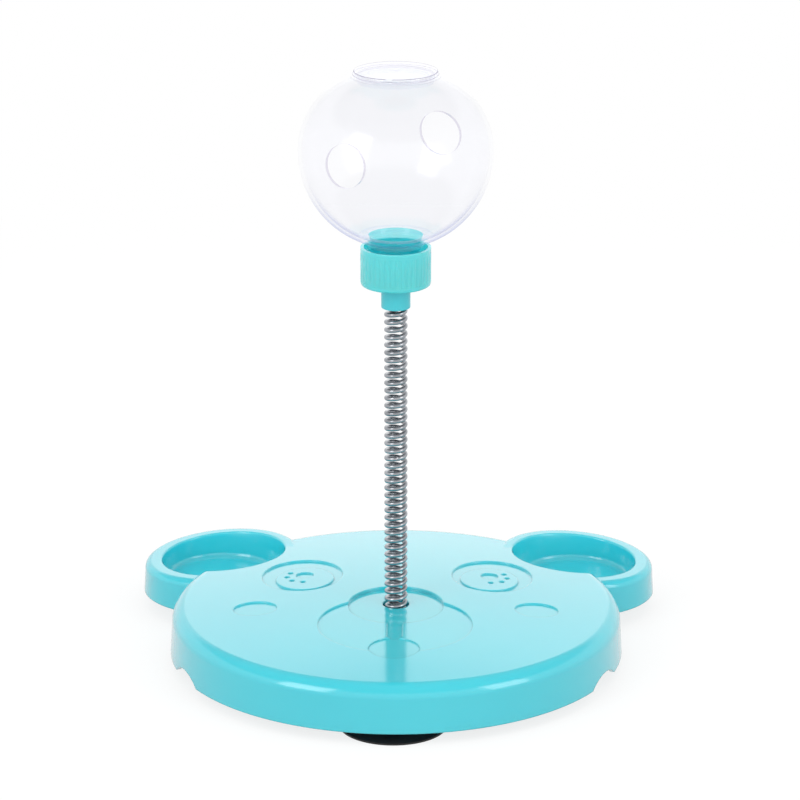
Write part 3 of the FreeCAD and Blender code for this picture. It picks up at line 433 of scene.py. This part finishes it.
def coil_point(angle):
    x = SPRING_AXIS[0] + COIL_RADIUS * math.cos(angle)
    y = SPRING_AXIS[1] + COIL_RADIUS * math.sin(angle)
    return Vector((x, y, SPRING_FOOT + WIRE_RADIUS + SPRING_PITCH * angle / math.tau))


def angle_at(height):
    return (height - SPRING_FOOT - WIRE_RADIUS) / SPRING_PITCH * math.tau


def wire_ring(angle):
    """The points round the wire where the coil has turned by this angle."""
    centre = coil_point(angle)
    outward = Vector((math.cos(angle), math.sin(angle), 0))
    rise = SPRING_PITCH / math.tau
    along = Vector((-COIL_RADIUS * math.sin(angle), COIL_RADIUS * math.cos(angle), rise))
    across = along.normalized().cross(outward)
    turns = [math.tau * side / WIRE_SIDES for side in range(WIRE_SIDES)]
    return [centre + WIRE_RADIUS * (outward * math.cos(turn) + across * math.sin(turn))
            for turn in turns]


def wire_length(name, first_angle, last_angle):
    """A length of wound wire with a flat face at each end."""
    count = round((last_angle - first_angle) / math.tau * STEPS_PER_TURN)
    vertices = []
    for number in range(count + 1):
        vertices += wire_ring(first_angle + (last_angle - first_angle) * number / count)
    faces = []
    for low in range(0, count * WIRE_SIDES, WIRE_SIDES):
        high = low + WIRE_SIDES
        for side in range(WIRE_SIDES):
            after = (side + 1) % WIRE_SIDES
            faces.append((low + side, high + side, high + after, low + after))
    faces.append(tuple(range(WIRE_SIDES)))
    faces.append(tuple(count * WIRE_SIDES + side for side in reversed(range(WIRE_SIDES))))
    mesh = bpy.data.meshes.new(name)
    mesh.from_pydata(vertices, [], faces)
    mesh.materials.append(SPRING_STEEL)
    for polygon in mesh.polygons:
        polygon.use_smooth = len(polygon.vertices) == 4
    piece = bpy.data.objects.new(name, mesh)
    scene.collection.objects.link(piece)
    return piece


def make_spring():
    join = angle_at(SPRING_MIDDLE)
    lower = wire_length("spring_lower_wire", 0.0, join)
    upper = wire_length("spring_upper_wire", join, SPRING_HALF_TURNS * math.pi)
    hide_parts("spring")
    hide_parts("spring")
    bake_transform(lower)
    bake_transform(upper)


# Stage: world, floor, lamps and camera

def make_world():
    world = bpy.data.worlds.new("studio")
    world.use_nodes = True
    scene.world = world
    tree = world.node_tree
    light = tree.nodes["Background"]
    light.inputs["Color"].default_value = (1, 1, 1, 1)
    direction = coordinates(tree, "Generated")
    edges = (math.sin(BACKDROP_TOP), math.sin(CEILING_START))
    overhead = mapped(tree, upward(tree, direction), *edges)
    towards = vectors(tree, "DOT_PRODUCT", direction, LIGHT_FROM)
    in_front = mapped(tree, towards, LIGHT_LOW_UP_TO, LIGHT_HIGH_FROM)
    camera, mirrored = rays(tree)
    falling = mixed(tree, "FLOAT", in_front, LIGHT_LOW, LIGHT_HIGH)
    shown = mixed(tree, "FLOAT", overhead, WHITE, CEILING)
    strength = mixed(tree, "FLOAT", mirrored, falling, shown)
    feed(tree, light.inputs["Strength"], mixed(tree, "FLOAT", camera, strength, WHITE))


def make_floor():
    mesh = bpy.data.meshes.new("floor")
    half = FLOOR_HALF
    corners = [(-half, -half, 0), (half, -half, 0), (half, half, 0), (-half, half, 0)]
    mesh.from_pydata(corners, [], [(0, 1, 2, 3)])
    floor = bpy.data.objects.new("floor", mesh)
    scene.collection.objects.link(floor)
    material, tree, shader = new_material("floor_paper")
    shader.inputs["Roughness"].default_value = FLOOR_ROUGHNESS
    shader.inputs["Specular IOR Level"].default_value = 0.0
    far = mapped(tree, vectors(tree, "LENGTH", coordinates(tree)), SHADOW_END, PAPER_START)
    camera, mirrored = rays(tree)
    seen = maths(tree, "MAXIMUM", camera, mirrored)
    near = mixed(tree, "RGBA", seen, FLOOR_BOUNCE, FLOOR_SEEN)
    paper = maths(tree, "MULTIPLY", seen, far)
    feed(tree, shader.inputs["Base Color"], mixed(tree, "RGBA", paper, near, (0.0, 0.0, 0.0)))
    near_glow = mixed(tree, "FLOAT", mirrored, CAMERA_GLOW, MIRROR_GLOW)
    glow = maths(tree, "MULTIPLY", seen, mixed(tree, "FLOAT", far, near_glow, WHITE))
    shader.inputs["Emission Color"].default_value = (1, 1, 1, 1)
    feed(tree, shader.inputs["Emission Strength"], glow)
    mesh.materials.append(material)


def make_lamps():
    for name, place, size, watts in LAMPS:
        data = bpy.data.lights.new(name, "AREA")
        data.shape = "RECTANGLE"
        data.size, data.size_y = size
        data.energy = watts
        lamp = bpy.data.objects.new(name, data)
        lamp.location = place
        lamp.rotation_euler = (AIM - lamp.location).to_track_quat("-Z", "Y").to_euler()
        scene.collection.objects.link(lamp)


def make_camera():
    data = bpy.data.cameras.new("camera")
    data.sensor_width = SENSOR
    data.lens = LENS
    data.clip_end = CLIP_END
    camera = bpy.data.objects.new("camera", data)
    turned = Euler((math.pi / 2 - CAMERA_PITCH, 0, CAMERA_TURN))
    camera.rotation_euler = turned
    camera.location = AIM + turned.to_matrix() @ Vector((0, 0, CAMERA_DISTANCE))
    scene.collection.objects.link(camera)
    scene.camera = camera


dress_nodes()
make_spring()
make_world()
make_floor()
make_lamps()
make_camera()
scene.cycles.transparent_max_bounces = CLEAR_BOUNCES
scene.view_settings.view_transform = "Standard"
bpy.context.view_layer.update()
